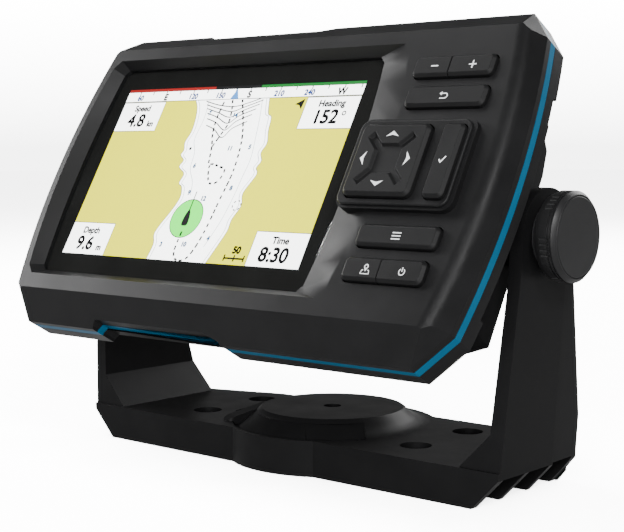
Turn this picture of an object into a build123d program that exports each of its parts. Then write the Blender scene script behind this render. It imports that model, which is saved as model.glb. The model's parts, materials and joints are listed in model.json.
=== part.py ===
from build123d import *
import os
from math import cos, radians, sin

# A five-inch chartplotter display on a tilting bail bracket, in millimetres.
# Row frame: +X right, +Y back, +Z up. The origin is on the floor, on the bracket's hub axis.
# Head frame: x right, y up the face, z out of the face, with z = 0 at the front of the glass.

# ---------------------------------------------------------------- driving dimensions
TILT = 30.0                     # lean-back of the face from upright, degrees
HEAD_Y, HEAD_Z = -38.0, 94.8    # centre of the face at the glass surface

FRONT_Z = 4.0                   # flat front of the bezel above the glass
EDGE_Z = -2.5                   # widest edge, where the sloping facets end
BAND_FRONT, BAND_BACK = -4.7, -7.4
LIP_BACK = -12.8                # rear face of the rear housing's lip
REAR_Z = -42.0                  # rear face of the tub

HALF_W, HALF_H = 90.0, 55.3     # outline at the widest edge, at its corners
CHIN = 1.0                      # how much lower than HALF_H the bottom edge lies
BOW = 4.0                       # how far each side bulges at mid-height
CORNER_X, CORNER_Y = 7.0, 8.6   # corner facets of the outline
LOW_CORNER = (2.2, 2.4)         # how much larger the two lower corner facets are
FRONT_HALF_W, FRONT_BOW = 86.0, 5.0
FRONT_TOP, FRONT_BOTTOM = 47.6, -46.3
WALL = 2.8

SCREEN_X, SCREEN_Y = -21.85, 1.2    # centre of the display in the head frame
SCREEN_W, SCREEN_H = 108.0, 64.8    # lit area of a 5 inch 5:3 display
GLASS_LEFT, GLASS_RIGHT = -81.85, 36.25
GLASS_TOP, GLASS_BOTTOM = 41.4, -38.1
GLASS_BOW = 2.6
GLASS_T = 1.7

POD_Z = 7.0                     # top of the raised pod around the pad
POD_X, POD_Y = 62.65, 1.2
POD_W, POD_H = 41.0, 29.0
PAD_X, PAD_W, PAD_H = 57.45, 24.9, 24.1
PAD_TOP = 9.0
KEY_GAP = 0.35                  # clearance between a key and its opening
KEY_TOP = 5.8
FLANGE_TOP, FLANGE_BOTTOM = 1.5, 0.6
STEM_BOTTOM = -1.25
KEY_WALL_BACK = 1.8             # rear of the bezel wall behind the keys
BOARD_TOP = -2.8                # front of the keypad board

PIVOT_Y, PIVOT_Z = -11.2, 78.0  # knob axis, parallel to X
ARM_FACE = 90.4                 # outer face of an arm at the knob
ARM_INNER = 86.3
BOSS_FACE = 86.0
BOSS_R = 10.0
STUD_R = 3.0
KNOB_R = 13.1
KNOB_BACK, KNOB_FACE = 91.6, 100.0
WASHER_T, WASHER_R = 0.9, 9.2

DECK_Z = 11.5                   # top of the bracket's base
DECK_T = 3.0
HUB_Z, HUB_R, HUB_SKIRT_R = 16.5, 25.0, 35.0
BASE_FRONT, BASE_REAR = -30.3, 27.3
HOLE_X, HOLE_Y = 45.5, 14.0     # half spacings of the four fixing holes
HOLE_R, SINK_R = 2.6, 5.0
CENTRE_R = 3.0

HEAD = Plane(origin=(0, HEAD_Y, HEAD_Z), x_dir=(1, 0, 0),
             z_dir=(0, -cos(radians(TILT)), sin(radians(TILT))))
HEAD_AXIS = Axis(HEAD.origin, HEAD.z_dir)

# Each key: centre x, centre y, width and height of its own share of the opening.
PAIR_X, PAIR_W, SPLIT_X = 67.05, 28.6, 66.05
WIDE_X, WIDE_W = 67.8, 28.5
ZOOM_Y, BACK_Y, MENU_Y, MARK_Y = 33.75, 23.6, -21.1, -31.6
KEY_H, LOW_PAIR_H = 7.7, 8.0
ENTER_X, ENTER_W, ENTER_H = 77.15, 7.9, 24.1
OPENING_R = 2.2

# More places in the head frame.
CAVITY_Z = -3.0                 # front of the bezel's main cavity
WINDOW_X, WINDOW_W, WINDOW_H = -22.3, 113.6, 73.0
LCD_W, LCD_H = 111.5, 71.0
BACKLIGHT_W, BACKLIGHT_H = 117.0, 76.0
CHASSIS_Z = -7.1                # front of the metal plate
BOARD_FRONT = -10.4             # front of the main board
PAD_LEDGE, PAD_HOLE, PAD_BOTTOM = 3.0, 19.0, 4.2
ENTER_TOP = 8.8
INSERT_L, INSERT_R = 14.0, 5.0
SOCKET_X, SOCKET_Y, VENT_X = (-14.0, 14.0), -9.0, 44.0
SOCKET_R, SOCKET_BORE = 9.8, 8.5
CAP_R = 11.6

# More places on the bracket.
ARM_TOP_FRONT, ARM_FOOT_FRONT, ARM_FOOT_REAR = -25.0, -29.6, 15.2
PAD_FOOT = 66.0                 # above this the arms are upright
RIB_Y, RIB_T = (-15.0, 0.0, 14.1), 2.2
STRIP_Y = -1.5                  # where the rear strip of an arm starts
SCOOP_START, SCOOP_SWEEP = 206.0, 118.0     # scooped part of the hub's flank, in degrees
POCKET_ANGLE = -48.0
RIDGE_FOOT, RIDGE_TOP = (-27.0, -22.5), (-21.3, -9.5)
BASE_WALL, SCREW_BOSS_R = 2.8, 7.4
HUB_WALL_R, HUB_POCKET_R = 30.0, 21.0  # outside and inside of the ring wall under the hub
FIXINGS = [(sx * HOLE_X, sy * HOLE_Y) for sx in (-1, 1) for sy in (-1, 1)]

SCREW_SPOTS = [(sx * 80.0, sy * 45.2) for sx in (-1, 1) for sy in (-1, 1)]
KEY_SCREW_SPOTS = [(x, y) for x in (48.8, 82.0) for y in (-38.6, 39.9)]
BOARD_SCREW_SPOTS = [(sx * 61.0, sy * 31.0) for sx in (-1, 1) for sy in (-1, 1)]
PAIR_CENTRES = [(SPLIT_X + PAIR_X + side * PAIR_W / 2) / 2 for side in (-1, 1)]
KEY_DOMES = [(x, y) for x in PAIR_CENTRES for y in (ZOOM_Y, MARK_Y)]
KEY_DOMES += [(WIDE_X, BACK_Y), (WIDE_X, MENU_Y)]
PAD_DOMES = [(PAD_X + dx, POD_Y + dy) for dx, dy in ((8, 0), (-8, 0), (0, 8), (0, -8))]

os.makedirs("parts", exist_ok=True)


def save(piece, label):
    """Label a finished piece and write it as its own STEP file."""
    piece.part.label = label
    export_step(piece.part, f"parts/{label}.step")


def level(z):
    """Plane parallel to the face at height z of the head frame."""
    return HEAD.offset(z)


# ---------------------------------------------------------------- shared outlines
def outline(z, half_w, top, bottom, bow, corner_x, corner_y, shift=0.0, extra=(0.0, 0.0)):
    """Eight-sided outline with straight top and bottom, bowed sides and larger lower corners."""
    left, right, middle = shift - half_w, shift + half_w, (top + bottom) / 2
    low_x, low_y = corner_x + extra[0], corner_y + extra[1]
    with BuildSketch(level(z)) as face:
        with BuildLine():
            Line((left + corner_x, top), (right - corner_x, top))
            Line((right - corner_x, top), (right, top - corner_y))
            ThreePointArc((right, top - corner_y), (right + bow, middle), (right, bottom + low_y))
            Line((right, bottom + low_y), (right - low_x, bottom))
            Line((right - low_x, bottom), (left + low_x, bottom))
            Line((left + low_x, bottom), (left, bottom + low_y))
            ThreePointArc((left, bottom + low_y), (left - bow, middle), (left, top - corner_y))
            Line((left, top - corner_y), (left + corner_x, top))
        make_face()
    return face.sketch


def edge_outline(z, inset=0.0):
    """The head's largest outline, or the same shape set in all round."""
    return outline(z, HALF_W - inset, HALF_H - inset, inset - HALF_H - CHIN, BOW,
                   CORNER_X - 0.52 * inset, CORNER_Y - 0.64 * inset, extra=LOW_CORNER)


def glass_outline(z, grow=0.0, bow=GLASS_BOW, corner=2.0):
    """Outline of the glass: bowed at the left and right, with small corners."""
    half = (GLASS_RIGHT - GLASS_LEFT) / 2 + grow
    centre = (GLASS_RIGHT + GLASS_LEFT) / 2
    return outline(z, half, GLASS_TOP + grow, GLASS_BOTTOM - grow, bow, corner, corner, centre)


def rounded_box(x, y, z_low, z_high, width, height, radius):
    """A block of rounded-rectangle section standing along the head's z."""
    with BuildPart() as block:
        with BuildSketch(level(z_low)):
            with Locations((x, y)):
                RectangleRounded(width, height, radius)
        extrude(amount=z_high - z_low)
    return block.part


def post(x, y, z_low, z_high, radius):
    """A round post along the head's z."""
    with BuildPart() as peg:
        with BuildSketch(level(z_low)):
            with Locations((x, y)):
                Circle(radius)
        extrude(amount=z_high - z_low)
    return peg.part


def scallop(side):
    """Finger recess cut across the top (side 1) or bottom (side -1) edge of the head."""
    floor, reach = HALF_H - 1.75, HALF_H + 4
    points = [(-47.6, reach), (-47.3, HALF_H), (-46.2, floor), (3.2, floor), (9.2, HALF_H), (14, reach)]
    with BuildPart() as cutter:
        with BuildSketch(level(LIP_BACK - 1)):
            with BuildLine():
                Polyline(*[(x, side * y) for x, y in points], close=True)
            make_face()
        extrude(amount=FRONT_Z - LIP_BACK)
    return cutter.part


def key_openings(z_low, z_high):
    """Cutters for the six key openings in the bezel."""
    return [
        rounded_box(PAIR_X, ZOOM_Y, z_low, z_high, PAIR_W, KEY_H, OPENING_R),
        rounded_box(WIDE_X, BACK_Y, z_low, z_high, WIDE_W, KEY_H, OPENING_R),
        rounded_box(WIDE_X, MENU_Y, z_low, z_high, WIDE_W, KEY_H, OPENING_R),
        rounded_box(PAIR_X, MARK_Y, z_low, z_high, PAIR_W, LOW_PAIR_H, OPENING_R),
        rounded_box(ENTER_X, POD_Y, z_low, POD_Z + 1, ENTER_W, ENTER_H, OPENING_R),
    ]


# ---------------------------------------------------------------- front of the head
def make_pod():
    """Raised pod that carries the pad and the enter key, with a stepped rim."""
    with BuildPart() as pod:
        add(rounded_box(POD_X, POD_Y, EDGE_Z, POD_Z - 1.1, POD_W, POD_H, 3.6))
        add(rounded_box(POD_X - 0.2, POD_Y, EDGE_Z, POD_Z, POD_W - 2.0, POD_H - 1.6, 2.9))
        fillet(pod.faces().sort_by(HEAD_AXIS)[-1].edges(), 0.6)
    return pod.part


def make_front_bezel():
    """Front housing: facets, screen recess, pod, key openings, screw posts."""
    edge = edge_outline(EDGE_Z)
    front = outline(FRONT_Z, FRONT_HALF_W, FRONT_TOP, FRONT_BOTTOM, FRONT_BOW, 1.2, 1.2)
    rim = outline(FRONT_Z, 66.5, 43.1, -41.0, 4.1, 3.0, 3.0, shift=-17.85)
    with BuildPart() as bezel:
        loft([edge, front], ruled=True)
        side_edges = bezel.faces().sort_by(HEAD_AXIS)[-1].edges().filter_by(GeomType.CIRCLE)
        fillet(side_edges.sort_by(Axis.X)[-1], 5.0)
        extrude(edge, amount=BAND_FRONT - EDGE_Z)
        loft([glass_outline(0), rim], ruled=True, mode=Mode.SUBTRACT)
        add(make_pod())
        extrude(glass_outline(0, 0.15), amount=-GLASS_T - 0.1, mode=Mode.SUBTRACT)
        add(rounded_box(WINDOW_X, SCREEN_Y, CAVITY_Z - 1, 0, WINDOW_W, WINDOW_H, 1.5), mode=Mode.SUBTRACT)
        extrude(edge_outline(BAND_FRONT, WALL), amount=CAVITY_Z - BAND_FRONT, mode=Mode.SUBTRACT)
        add(rounded_box(65.15, 1.0, CAVITY_Z - 1, KEY_WALL_BACK, 37.7, 84.0, 2.0), mode=Mode.SUBTRACT)
        for cutter in key_openings(KEY_WALL_BACK - 1, FRONT_Z + 1):
            add(cutter, mode=Mode.SUBTRACT)
        add(rounded_box(PAD_X, POD_Y, PAD_LEDGE, POD_Z + 1, PAD_W, PAD_H, 2.6), mode=Mode.SUBTRACT)
        add(rounded_box(PAD_X, POD_Y, 0, POD_Z, PAD_HOLE, PAD_HOLE, 2.0), mode=Mode.SUBTRACT)
        for x, y in SCREW_SPOTS:
            add(post(x, y, BAND_BACK + 0.2, CAVITY_Z, 3.4))
        for x, y in KEY_SCREW_SPOTS:
            add(post(x, y, BOARD_TOP, KEY_WALL_BACK, 1.5))
        for x, y in SCREW_SPOTS:
            add(post(x, y, BAND_BACK, CAVITY_Z + 1.5, 1.3), mode=Mode.SUBTRACT)
        for x, y in KEY_SCREW_SPOTS:
            add(post(x, y, BOARD_TOP - 1, BOARD_TOP + 3, 0.85), mode=Mode.SUBTRACT)
        add(scallop(1), mode=Mode.SUBTRACT)
        add(scallop(-1), mode=Mode.SUBTRACT)
    save(bezel, "front_bezel")


def make_cover_glass():
    """Cover glass, flush with the foot of the screen recess."""
    with BuildPart() as glass:
        extrude(glass_outline(0), amount=-GLASS_T)
        chamfer(glass.faces().sort_by(HEAD_AXIS)[-1].edges(), 0.25)
    save(glass, "cover_glass")


def make_display_stack():
    """Display, its backlight, the seal round it and the metal plate behind."""
    with BuildPart() as lcd:
        add(rounded_box(SCREEN_X, SCREEN_Y, -3.8, -GLASS_T - 0.1, LCD_W, LCD_H, 0.8))
    save(lcd, "lcd_panel")
    with BuildPart() as backlight:
        add(rounded_box(SCREEN_X, SCREEN_Y, -7.0, -3.9, BACKLIGHT_W, BACKLIGHT_H, 1.0))
        add(rounded_box(SCREEN_X, SCREEN_Y, -7.0, -6.4, BACKLIGHT_W - 8, BACKLIGHT_H - 8, 2.0),
            mode=Mode.SUBTRACT)
    save(backlight, "backlight")
    with BuildPart() as gasket:
        add(rounded_box(SCREEN_X, SCREEN_Y, -3.8, CAVITY_Z - 0.05, BACKLIGHT_W, BACKLIGHT_H, 1.0))
        add(rounded_box(WINDOW_X, SCREEN_Y, -4, CAVITY_Z, WINDOW_W, WINDOW_H, 1.0), mode=Mode.SUBTRACT)
    save(gasket, "glass_gasket")
    with BuildPart() as chassis:
        add(rounded_box(0, 0, CHASSIS_Z - 0.9, CHASSIS_Z, 150, 88, 4))
        for x, y in BOARD_SCREW_SPOTS:
            add(post(x, y, BOARD_FRONT, CHASSIS_Z - 0.9, 2.4))
            add(post(x, y, BOARD_FRONT - 1, CHASSIS_Z + 1, 1.0), mode=Mode.SUBTRACT)
        for x in (-50, 0, 50):
            add(rounded_box(x, 0, CHASSIS_Z - 1, CHASSIS_Z + 1, 18, 40, 3), mode=Mode.SUBTRACT)
    save(chassis, "display_chassis")


def make_accent_band():
    """Thin coloured ring clamped between the two housings."""
    with BuildPart() as band:
        extrude(edge_outline(BAND_BACK), amount=BAND_FRONT - BAND_BACK)
        extrude(edge_outline(BAND_BACK, WALL), amount=BAND_FRONT - BAND_BACK, mode=Mode.SUBTRACT)
        add(scallop(1), mode=Mode.SUBTRACT)
        add(scallop(-1), mode=Mode.SUBTRACT)
    save(band, "accent_band")


def make_housing_gasket():
    """Sealing ring inside the band."""
    with BuildPart() as ring:
        extrude(edge_outline(BAND_BACK, WALL + 0.15), amount=BAND_FRONT - BAND_BACK)
        extrude(edge_outline(BAND_BACK, WALL + 1.6), amount=BAND_FRONT - BAND_BACK, mode=Mode.SUBTRACT)
    save(ring, "housing_gasket")


# ---------------------------------------------------------------- keys
def key_body(x, y, width, height, top, radius):
    """Key cap with a bevelled top, a retaining flange and a stem."""
    with BuildPart() as key:
        add(rounded_box(x, y, FLANGE_TOP, top, width - 2 * KEY_GAP, height - 2 * KEY_GAP, radius - KEY_GAP))
        chamfer(key.faces().sort_by(HEAD_AXIS)[-1].edges(), 0.9)
        add(rounded_box(x, y, FLANGE_BOTTOM, FLANGE_TOP, width + 1.3, height + 1.1, radius))
    return key.part


def stem(x, y, along_x=True):
    """Rib under a key that presses its dome."""
    size = (9.0, 2.8) if along_x else (2.8, 9.0)
    return rounded_box(x, y, STEM_BOTTOM, FLANGE_BOTTOM, *size, 0.8)


def make_wide_key(label, x, y, width, height, top=KEY_TOP):
    """A key with an opening of its own."""
    with BuildPart() as key:
        add(key_body(x, y, width, height, top, OPENING_R))
        add(stem(x, y, width > height))
    save(key, label)


def make_half_key(label, y, height, side):
    """One of two keys that share an opening, left of the split (side -1) or right of it (side 1)."""
    reach = 20.0
    middle = SPLIT_X + side * (reach + KEY_GAP) / 2
    with BuildPart() as key:
        add(key_body(PAIR_X, y, PAIR_W, height, KEY_TOP, OPENING_R))
        add(rounded_box(middle, y, FLANGE_BOTTOM - 1, KEY_TOP + 1, reach, height + 4, 0.2),
            mode=Mode.INTERSECT)
        add(stem(PAIR_CENTRES[(side + 1) // 2], y))
    save(key, label)


def make_keys():
    make_half_key("zoom_out_key", ZOOM_Y, KEY_H, -1)
    make_half_key("zoom_in_key", ZOOM_Y, KEY_H, 1)
    make_half_key("mark_key", MARK_Y, LOW_PAIR_H, -1)
    make_half_key("power_key", MARK_Y, LOW_PAIR_H, 1)
    make_wide_key("back_key", WIDE_X, BACK_Y, WIDE_W, KEY_H)
    make_wide_key("menu_key", WIDE_X, MENU_Y, WIDE_W, KEY_H)
    make_wide_key("enter_key", ENTER_X, POD_Y, ENTER_W, ENTER_H, ENTER_TOP)


def make_direction_pad():
    """Four-way pad: bevelled cap, sunken centre, diagonal channels, stem."""
    with BuildPart() as pad:
        add(rounded_box(PAD_X, POD_Y, PAD_BOTTOM, PAD_TOP, PAD_W - 0.8, PAD_H - 0.8, 2.3))
        chamfer(pad.faces().sort_by(HEAD_AXIS)[-1].edges(), 1.0)
        with BuildSketch(level(PAD_TOP - 1.0)):
            with Locations((PAD_X, POD_Y)):
                Rectangle(8.4, 8.4)
                Rectangle(20.6, 1.5, rotation=45)
                Rectangle(20.6, 1.5, rotation=-45)
        extrude(amount=1.1, taper=-32, mode=Mode.SUBTRACT)
        add(rounded_box(PAD_X, POD_Y, 1.3, PAD_BOTTOM, 7, 7, 1))
    save(pad, "direction_pad")
    with BuildPart() as spider:
        with BuildSketch(level(-0.4)):
            with Locations((PAD_X, POD_Y)):
                Rectangle(18.6, 5.0)
                Rectangle(5.0, 18.6)
                Circle(4.5)
        extrude(amount=1.2)
        for x, y in PAD_DOMES:
            add(post(x, y, STEM_BOTTOM - 0.1, -0.4, 1.1))
    save(spider, "pad_spider")


def make_keypad_inside():
    """Silicone mat, domes and board behind the keys, with the board's screws."""
    with BuildPart() as mat:
        add(rounded_box(64.7, 0.9, -1.4, -0.4, 35.8, 74.2, 1.5))
        for x, y in KEY_DOMES:
            add(rounded_box(x, y, -2, 0, 9.8, 3.6, 1.0), mode=Mode.SUBTRACT)
        add(rounded_box(ENTER_X, POD_Y, -2, 0, 3.6, 9.8, 1.0), mode=Mode.SUBTRACT)
        add(rounded_box(PAD_X, POD_Y, -2, 0, 15.5, 21.0, 2.0), mode=Mode.SUBTRACT)
        add(rounded_box(PAD_X, POD_Y, -2, 0, 19.6, 8.0, 2.0), mode=Mode.SUBTRACT)
    save(mat, "keypad_mat")
    with BuildPart() as domes:
        for x, y in KEY_DOMES + [(ENTER_X, POD_Y)] + PAD_DOMES:
            add(post(x, y, BOARD_TOP, BOARD_TOP + 0.7, 2.3))
    save(domes, "key_domes")
    with BuildPart() as board:
        add(rounded_box(65.2, 0.6, BOARD_TOP - 1.4, BOARD_TOP, 36.4, 81.4, 1.0))
        for x, y in KEY_SCREW_SPOTS:
            add(post(x, y, BOARD_TOP - 2, BOARD_TOP + 1, 1.1), mode=Mode.SUBTRACT)
    save(board, "keypad_board")
    with BuildPart() as screws:
        for x, y in KEY_SCREW_SPOTS:
            add(post(x, y, BOARD_TOP - 2.4, BOARD_TOP - 1.45, 1.9))
            add(post(x, y, BOARD_TOP - 1.45, BOARD_TOP + 2.5, 0.8))
    save(screws, "keypad_screws")


# ---------------------------------------------------------------- electronics
def make_electronics():
    """Main board and what sits on it, and the ribbon to the keypad board."""
    back = BOARD_FRONT - 1.5
    with BuildPart() as board:
        add(rounded_box(0, 0, back, BOARD_FRONT, 132, 72, 2))
        for x, y in BOARD_SCREW_SPOTS:
            add(post(x, y, back - 1, BOARD_FRONT + 1, 1.3), mode=Mode.SUBTRACT)
    save(board, "main_board")
    with BuildPart() as screws:
        for x, y in BOARD_SCREW_SPOTS:
            add(post(x, y, back - 1.6, back, 2.4))
            add(post(x, y, back, CHASSIS_Z - 0.5, 0.95))
    save(screws, "board_screws")
    with BuildPart() as can:
        add(rounded_box(-28, 4, back - 3.2, back, 44, 32, 1.0))
        add(rounded_box(-28, 4, back - 2.8, back, 43, 31, 0.8), mode=Mode.SUBTRACT)
    save(can, "shield_can")
    with BuildPart() as antenna:
        add(rounded_box(26, 20, back - 4.2, back, 25, 25, 0.8))
        add(rounded_box(26, 20, back - 4.6, back - 4.2, 20, 20, 0.6))
    save(antenna, "gps_antenna")
    with BuildPart() as beeper:
        add(post(48, -16, back - 4.5, back, 6.0))
        add(post(48, -16, back - 5.5, back - 3.5, 1.2), mode=Mode.SUBTRACT)
    save(beeper, "beeper")
    start, turn, end, width, thick = 68.0, 77.2, 58.0, 12.0, 0.3
    high, low = BOARD_TOP - 1.4, back - thick - 0.05
    ribbon_plane = Plane(origin=HEAD.from_local_coords(Vector(0, -width / 2, 0)),
                         x_dir=HEAD.x_dir, z_dir=-HEAD.y_dir)
    with BuildPart() as ribbon:
        with BuildSketch(ribbon_plane):
            with BuildLine():
                Polyline((start, high), (turn, high), (turn, low), (end, low), (end, low + thick),
                         (turn - thick, low + thick), (turn - thick, high - thick), (start, high - thick),
                         close=True)
            make_face()
        extrude(amount=-width)
    save(ribbon, "ribbon_cable")


# ---------------------------------------------------------------- rear of the head
def tub_solid(inset):
    """The tub behind the lip: front outline, side profile and plan profile, all set in by inset."""
    front, back = LIP_BACK + inset, REAR_Z + inset
    side = [(48.5 - inset, front), (46.5 - inset, -25.5 + inset), (43 - inset, -26.6 + inset),
            (34.2 - inset, -27.4 + inset), (33.8 - inset, -29.4 + inset), (29.2 - inset, -29.8 + inset),
            (27.2 - inset, -32.6 + inset), (16 - inset, -35.5 + inset), (8 - inset, back),
            (inset - 28, back), (inset - 38.3, -32.5 + inset), (inset - 45.5, -25.5 + inset),
            (inset - 49.5, -20 + inset), (inset - 49.5, front)]
    plan = [(81.5 - inset, front), (80.2 - inset, -34.5 + inset), (68 - inset, back)]
    plan += [(-x, z) for x, z in reversed(plan)]
    side_plane = Plane(origin=HEAD.origin, x_dir=HEAD.y_dir, z_dir=HEAD.x_dir)
    plan_plane = Plane(origin=HEAD.origin, x_dir=HEAD.x_dir, z_dir=-HEAD.y_dir)
    with BuildPart() as tub:
        with BuildSketch(side_plane):
            with BuildLine():
                Polyline(*side, close=True)
            make_face()
        extrude(amount=100, both=True)
        with BuildSketch(plan_plane):
            with BuildLine():
                Polyline(*plan, close=True)
            make_face()
        extrude(amount=100, both=True, mode=Mode.INTERSECT)
        extrude(outline(back, 81.5 - inset, 48.5 - inset, inset - 49.5, 0.01, 15, 15),
                amount=front - back, mode=Mode.INTERSECT)
    return tub.part


def x_disc(x_low, x_high, radius, bore=0.0):
    """A disc or ring on the knob axis."""
    with BuildPart() as disc:
        with BuildSketch(Plane(origin=(x_low, PIVOT_Y, PIVOT_Z), x_dir=(0, 1, 0), z_dir=(1, 0, 0))):
            Circle(radius)
            if bore:
                Circle(bore, mode=Mode.SUBTRACT)
        extrude(amount=x_high - x_low)
    return disc.part


def both_sides(solid):
    """A solid and its mirror image in the middle plane."""
    return [solid, solid.mirror(Plane.YZ)]


def save_both_sides(label, solid):
    """Write a solid of the right side and its mirror image as two pieces."""
    for part, side in zip(both_sides(solid), ("right", "left")):
        with BuildPart() as piece:
            add(part)
        save(piece, f"{label}_{side}")


def make_rear_housing():
    """Rear shell: lip, tub, pivot bosses, screw seats, socket holes, ribs."""
    with BuildPart() as rear:
        extrude(edge_outline(LIP_BACK), amount=BAND_BACK - LIP_BACK)
        add(tub_solid(0))
        for boss in both_sides(x_disc(62, BOSS_FACE, BOSS_R)):
            add(boss)
        extrude(edge_outline(LIP_BACK + WALL - 0.3, WALL), amount=BAND_BACK - LIP_BACK - WALL + 0.3,
                mode=Mode.SUBTRACT)
        add(tub_solid(2.4), mode=Mode.SUBTRACT)
        add(rounded_box(0, 0, LIP_BACK, BAND_BACK, 156, 90, 8), mode=Mode.SUBTRACT)
        for boss in both_sides(x_disc(70, BOSS_FACE - 0.5, BOSS_R - 1)):
            add(boss)
        for x, y in SCREW_SPOTS:
            add(post(x, y, LIP_BACK, BAND_BACK, 3.6))
            add(post(x, y, LIP_BACK - 1, BAND_BACK + 1, 1.8), mode=Mode.SUBTRACT)
            add(post(x, y, LIP_BACK - 1, LIP_BACK + 2.0, 3.1), mode=Mode.SUBTRACT)
        for bore in both_sides(x_disc(BOSS_FACE - INSERT_L - 0.5, BOSS_FACE + 1, INSERT_R)):
            add(bore, mode=Mode.SUBTRACT)
        for recess in both_sides(x_disc(BOSS_FACE - 1.4, BOSS_FACE + 1, 9.3)):
            add(recess, mode=Mode.SUBTRACT)
        for x in SOCKET_X:
            add(post(x, SOCKET_Y, REAR_Z - 1, REAR_Z + 4, SOCKET_R + 0.1), mode=Mode.SUBTRACT)
        add(post(VENT_X, SOCKET_Y, REAR_Z - 1, REAR_Z + 4, 4.1), mode=Mode.SUBTRACT)
        for side in (-1, 1):
            relief = rounded_box(side * 92, -2.5, LIP_BACK - 1, LIP_BACK + 1.5, 20.5, 69, 1.0)
            add(relief, mode=Mode.SUBTRACT)
        add(scallop(1), mode=Mode.SUBTRACT)
        add(scallop(-1), mode=Mode.SUBTRACT)
    save(rear, "rear_housing")


def make_rear_fittings():
    """Housing screws, threaded inserts, friction rings and the vent plug."""
    with BuildPart() as screws:
        for x, y in SCREW_SPOTS:
            add(post(x, y, LIP_BACK + 0.4, LIP_BACK + 1.95, 2.8))
            add(post(x, y, LIP_BACK + 1.95, CAVITY_Z + 1, 1.25))
            add(rounded_box(x, y, LIP_BACK, LIP_BACK + 1.2, 0.8, 3.4, 0.2), mode=Mode.SUBTRACT)
            add(rounded_box(x, y, LIP_BACK, LIP_BACK + 1.2, 3.4, 0.8, 0.2), mode=Mode.SUBTRACT)
    save(screws, "housing_screws")
    insert = x_disc(BOSS_FACE - INSERT_L, BOSS_FACE - 1.4, INSERT_R - 0.02, STUD_R + 0.1)
    friction = x_disc(BOSS_FACE - 1.35, BOSS_FACE + 0.1, 9.1, INSERT_R + 0.6)
    save_both_sides("pivot_insert", insert)
    save_both_sides("friction_ring", friction)
    with BuildPart() as vent:
        add(post(VENT_X, SOCKET_Y, REAR_Z - 0.9, REAR_Z, 5.4))
        add(post(VENT_X, SOCKET_Y, REAR_Z, REAR_Z + 4, 4.0))
        for k in range(3):
            add(rounded_box(VENT_X, SOCKET_Y + (k - 1) * 2.2, REAR_Z - 1, REAR_Z - 0.4, 6, 0.8, 0.3),
                mode=Mode.SUBTRACT)
    save(vent, "vent_plug")


def make_socket(label, x, pins):
    """A round cable socket: keyed shell with a flange, and its contact pins."""
    mouth = REAR_Z - 4.5
    with BuildPart() as shell:
        add(post(x, SOCKET_Y, mouth, REAR_Z + 9, SOCKET_R))
        add(post(x, SOCKET_Y, REAR_Z - 1.6, REAR_Z - 0.02, SOCKET_R + 1.8))
        add(post(x, SOCKET_Y, mouth - 1, REAR_Z + 7.5, SOCKET_BORE), mode=Mode.SUBTRACT)
        add(rounded_box(x, SOCKET_Y - SOCKET_BORE + 0.3, mouth + 1, REAR_Z + 7.5, 2.4, 1.8, 0.4))
    save(shell, f"{label}_socket")
    with BuildPart() as contacts:
        for px, py in pins:
            add(post(x + px, SOCKET_Y + py, REAR_Z + 3.4, REAR_Z + 7.45, 0.75))
    save(contacts, f"{label}_pins")


def make_sockets():
    square = [(sx * 2.6, sy * 2.6) for sx in (-1, 1) for sy in (-1, 1)]
    ring = [(r.X, r.Y) for r in (Vector(4.6, 0, 0).rotate(Axis.Z, 40 * k) for k in range(9))]
    make_socket("power", SOCKET_X[0], square)
    make_socket("transducer", SOCKET_X[1], ring + [(0, 0)])


# ---------------------------------------------------------------- bracket
def arm_profile():
    """Outline of an arm seen from the side, with a round end about the pivot, and the base below it."""
    top_r = PIVOT_Y - ARM_TOP_FRONT
    with BuildPart() as profile:
        with BuildSketch(Plane.YZ):
            with BuildLine():
                Polyline((ARM_FOOT_FRONT, 8), (ARM_TOP_FRONT, PIVOT_Z), (PIVOT_Y + top_r, PIVOT_Z),
                         (ARM_FOOT_REAR, 22), (ARM_FOOT_REAR, 8), close=True)
            make_face()
            with Locations((PIVOT_Y, PIVOT_Z)):
                Circle(top_r)
            with Locations((0, DECK_Z / 2)):
                Rectangle(2 * HUB_SKIRT_R + 4, DECK_Z)
        extrude(amount=100, both=True)
    return profile.part


def base_plan(inset, z_low, z_high, open_ends=False):
    """Top view of the base: straight front, rear that tapers at the arms, round bulge about the hub."""
    far = 96.0 if open_ends else 91.0
    with BuildPart() as plan:
        with BuildSketch(Plane.XY.offset(z_low)):
            with BuildLine():
                Polyline((-far, BASE_FRONT + inset), (far, BASE_FRONT + inset), (far, ARM_FOOT_REAR - inset),
                         (84, ARM_FOOT_REAR - inset), (47, BASE_REAR - inset), (-47, BASE_REAR - inset),
                         (-84, ARM_FOOT_REAR - inset), (-far, ARM_FOOT_REAR - inset), close=True)
            make_face()
            Circle(HUB_SKIRT_R - inset)
        extrude(amount=z_high - z_low)
    return plan.part


def u_section(points, depth):
    """A front-view polygon and its mirror image, extruded to both sides of the hub."""
    with BuildPart() as body:
        with BuildSketch(Plane.XZ):
            with BuildLine():
                Polyline(*points, *[(-x, z) for x, z in reversed(points)], close=True)
            make_face()
        extrude(amount=depth, both=True)
    return body.part


def hub():
    """Raised round hub with a flank that curves down to the deck."""
    with BuildPart() as disc:
        with BuildSketch(Plane.XZ):
            with BuildLine():
                Polyline((0, DECK_Z - DECK_T), (0, HUB_Z), (HUB_R - 1, HUB_Z), (HUB_R, HUB_Z - 0.8))
                ThreePointArc((HUB_R, HUB_Z - 0.8), (28.3, 13.0), (HUB_SKIRT_R, DECK_Z))
                Polyline((HUB_SKIRT_R, DECK_Z), (HUB_SKIRT_R, DECK_Z - DECK_T), (0, DECK_Z - DECK_T))
            make_face()
        revolve(axis=Axis.Z)
    return disc.part


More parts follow.
